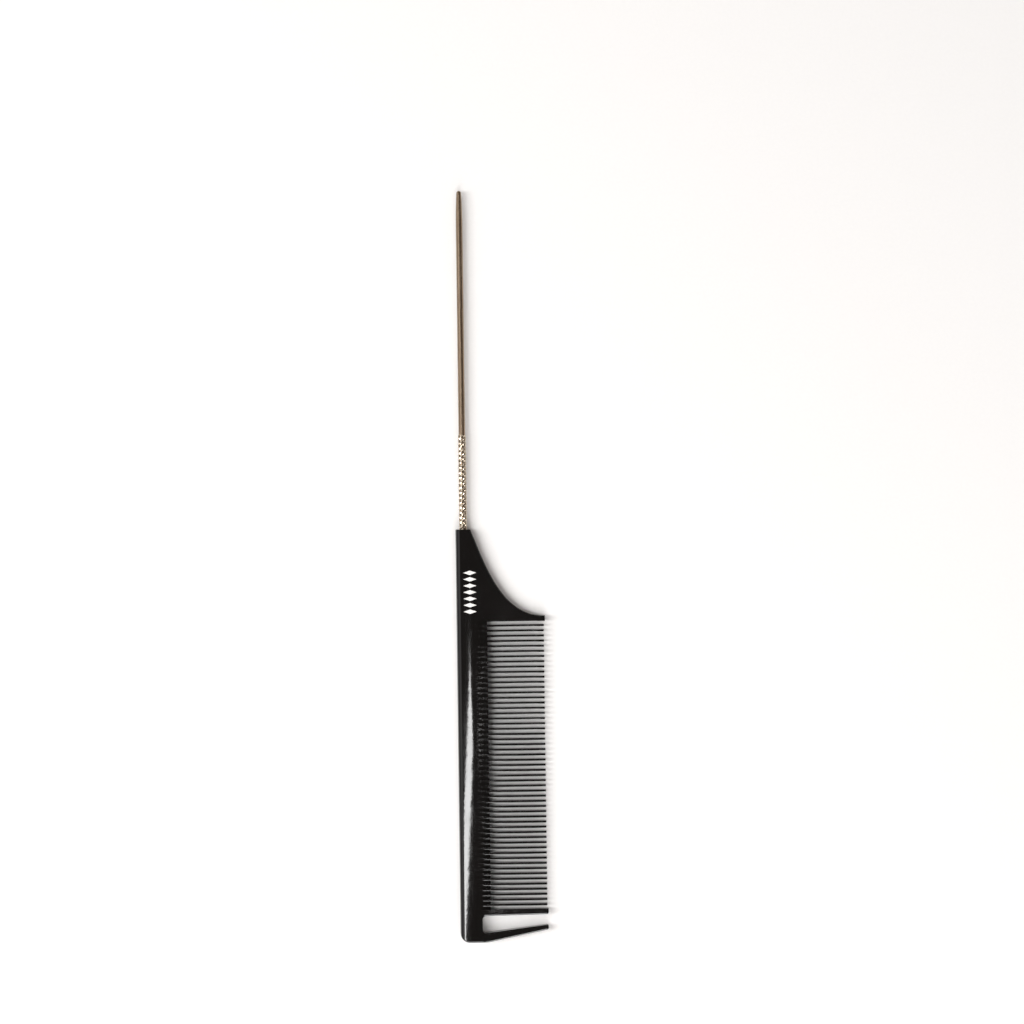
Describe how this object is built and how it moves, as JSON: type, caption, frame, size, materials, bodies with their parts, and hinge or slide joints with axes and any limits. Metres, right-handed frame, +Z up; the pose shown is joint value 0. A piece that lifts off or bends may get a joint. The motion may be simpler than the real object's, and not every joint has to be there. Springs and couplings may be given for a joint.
{
  "type": "rat tail comb",
  "caption": "Slim fine-toothed styling comb with a guard tooth at each end, an open sectioning hook, and a round knurled steel pin tail for parting hair.",
  "frame": {"origin": "under the middle of the object's box, on the surface that the comb lies on", "axes": "+X from the spine to the tooth tips, +Y from the hook end to the tip of the pin, +Z up through the thickness"},
  "size_m": [0.0268, 0.2286, 0.004],
  "materials": {
    "comb_plastic": "black moulded acetal, semi-gloss from a polished mould",
    "pin_steel": "drawn steel wire, warm nickel plate, knurled near the comb",
    "print_ink": "white pad-printed ink"
  },
  "bodies": {
    "root": {"comb_body": "comb_plastic", "tail_pin": "pin_steel"}
  },
  "joints": []
}
